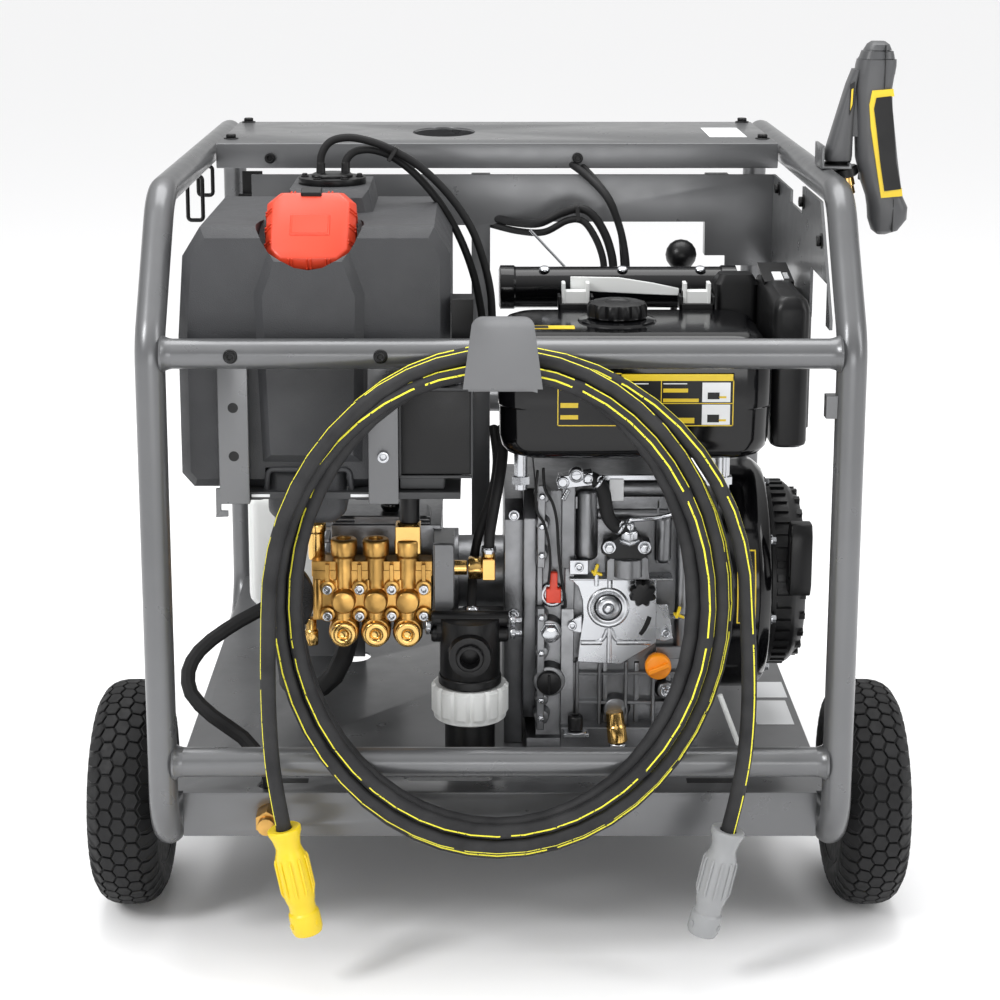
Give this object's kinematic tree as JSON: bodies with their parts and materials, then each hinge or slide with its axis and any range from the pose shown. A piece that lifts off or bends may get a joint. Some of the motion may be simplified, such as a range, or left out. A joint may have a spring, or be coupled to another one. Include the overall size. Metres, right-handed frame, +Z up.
{
  "type": "pressure washer",
  "caption": "Diesel cold-water pressure washer in a tubular cage frame with brass pump, auxiliary fuel tank, coiled high-pressure hose and spray gun, on pneumatic wheels.",
  "frame": {"origin": "centre of the footprint of the machine without its free hose, on the floor plane", "axes": "+Z up, +Y from the hose side to the back, +X across towards the recoil starter"},
  "size_m": [0.877, 0.895, 0.936],
  "materials": {
    "frame_paint": "satin",
    "tank_plastic": "grained",
    "dark_paint": "satin",
    "cap_red": "satin",
    "black_plastic": "satin",
    "engine_black": "gloss",
    "rubber": "matte",
    "hose_rubber": "cloth wrapped",
    "tyre": "matte",
    "rim_plastic": "satin",
    "steel": "zinc plated",
    "cast_aluminium": "cast",
    "pressed_steel": "plated",
    "brass": "cast and machined",
    "orange_plastic": "satin",
    "red_plastic": "satin",
    "white_plastic": "satin",
    "yellow_plastic": "satin",
    "grey_plastic": "satin",
    "gun_plastic": "satin"
  },
  "bodies": {
    "chassis": {"side_frame_left": "frame_paint", "side_frame_right": "frame_paint", "upper_cross_tube": "frame_paint", "lower_cross_tube": "frame_paint", "rear_cross_tube": "frame_paint", "base_tray": "frame_paint", "top_panel": "frame_paint", "rear_panel": "frame_paint", "side_gusset": "frame_paint", "hose_hook": "frame_paint", "gun_holder": "frame_paint", "tank_strap_left": "frame_paint", "tank_strap_right": "frame_paint", "tank_rail": "dark_paint", "tank_sump": "dark_paint", "axle": "steel", "rear_foot_left": "rubber", "rear_foot_right": "rubber", "fuel_tank": "tank_plastic", "tank_sender": "black_plastic", "battery": "black_plastic", "engine_block": "cast_aluminium", "gear_cover": "cast_aluminium", "engine_fuel_tank": "engine_black", "muffler": "engine_black", "air_filter": "black_plastic", "fan_shroud": "engine_black", "recoil_starter": "engine_black", "governor_cover": "pressed_steel", "injection_pump": "cast_aluminium", "pump_manifold": "brass", "pump_crankcase": "engine_black", "pump_adapter": "cast_aluminium", "filter_body": "black_plastic", "filter_bowl": "black_plastic", "outlet_fitting": "brass", "pressure_hose_inner": "rubber", "suction_hose": "rubber", "float_tank": "white_plastic", "hose_coil": "hose_rubber", "hose_tail_left": "hose_rubber", "hose_tail_right": "hose_rubber", "connector_yellow": "yellow_plastic", "connector_grey": "grey_plastic"},
    "wheel_left": {"wheel_rim_left": "rim_plastic", "tyre_left": "tyre"},
    "wheel_right": {"wheel_rim_right": "rim_plastic", "tyre_right": "tyre"},
    "tank_cap": {"fuel_tank_cap": "cap_red"},
    "engine_cap": {"engine_fuel_cap": "black_plastic"},
    "starter_grip": {"starter_handle": "black_plastic"},
    "speed_lever": {"speed_lever": "black_plastic"},
    "decompression_lever": {"decompression_lever": "red_plastic"},
    "control_knob": {"control_knob": "black_plastic"},
    "regulator_knob": {"regulator_knob": "black_plastic"},
    "filter_nut": {"filter_nut": "white_plastic"},
    "oil_plug": {"oil_filler_plug": "orange_plastic"},
    "crankshaft": {"crankshaft": "steel"},
    "gun": {"gun_body": "gun_plastic"},
    "trigger": {"gun_trigger": "black_plastic"}
  },
  "joints": [
    {"name": "wheel_left_spin", "type": "hinge", "parent": "chassis", "child": "wheel_left", "pos_m": [-0.4005, -0.206, 0.122], "axis": [1, 0, 0], "continuous": true},
    {"name": "wheel_right_spin", "type": "hinge", "parent": "chassis", "child": "wheel_right", "pos_m": [0.4005, -0.206, 0.122], "axis": [1, 0, 0], "continuous": true},
    {"name": "tank_cap_turn", "type": "hinge", "parent": "chassis", "child": "tank_cap", "pos_m": [-0.19, -0.287, 0.748], "axis": [0, -0.766, 0.6428], "range_deg": [0, 90]},
    {"name": "engine_cap_turn", "type": "hinge", "parent": "chassis", "child": "engine_cap", "pos_m": [0.123, -0.219, 0.651], "axis": [0, 0, 1], "range_deg": [0, 90]},
    {"name": "starter_pull", "type": "slide", "parent": "chassis", "child": "starter_grip", "axis": [0, -1, 0], "range_m": [0, 0.5], "stiffness_N_per_m": 30, "springref_m": -0.3},
    {"name": "speed_lever_swing", "type": "hinge", "parent": "chassis", "child": "speed_lever", "pos_m": [0.116, -0.261, 0.347], "axis": [0, 1, 0], "range_deg": [0, 60]},
    {"name": "decompression_tip", "type": "hinge", "parent": "chassis", "child": "decompression_lever", "pos_m": [0.058, -0.237, 0.358], "axis": [0, 1, 0], "range_deg": [-22, 12]},
    {"name": "control_knob_swing", "type": "hinge", "parent": "chassis", "child": "control_knob", "pos_m": [0.195, 0.031, 0.503], "axis": [0, 1, 0], "range_deg": [-12, 12]},
    {"name": "regulator_turn", "type": "hinge", "parent": "chassis", "child": "regulator_knob", "pos_m": [-0.095, -0.229, 0.455], "axis": [0, 0, 1], "range_deg": [0, 270]},
    {"name": "filter_nut_turn", "type": "hinge", "parent": "chassis", "child": "filter_nut", "pos_m": [-0.031, -0.259, 0.236], "axis": [0, 0, 1], "range_deg": [0, 360]},
    {"name": "oil_plug_turn", "type": "hinge", "parent": "chassis", "child": "oil_plug", "pos_m": [0.17, -0.249, 0.281], "axis": [0, 1, 0], "range_deg": [0, 360]},
    {"name": "crankshaft_spin", "type": "hinge", "parent": "chassis", "child": "crankshaft", "pos_m": [0.1, -0.119, 0.348], "axis": [1, 0, 0], "continuous": true},
    {"name": "gun_lift", "type": "slide", "parent": "chassis", "child": "gun", "axis": [0, 0, 1], "range_m": [0, 0.15]},
    {"name": "trigger_squeeze", "type": "hinge", "parent": "gun", "child": "trigger", "pos_m": [0.393, -0.126, 0.862], "axis": [1, 0, 0], "range_deg": [-4, 0], "stiffness_Nm_per_rad": 0.6, "springref_deg": 5.73}
  ]
}
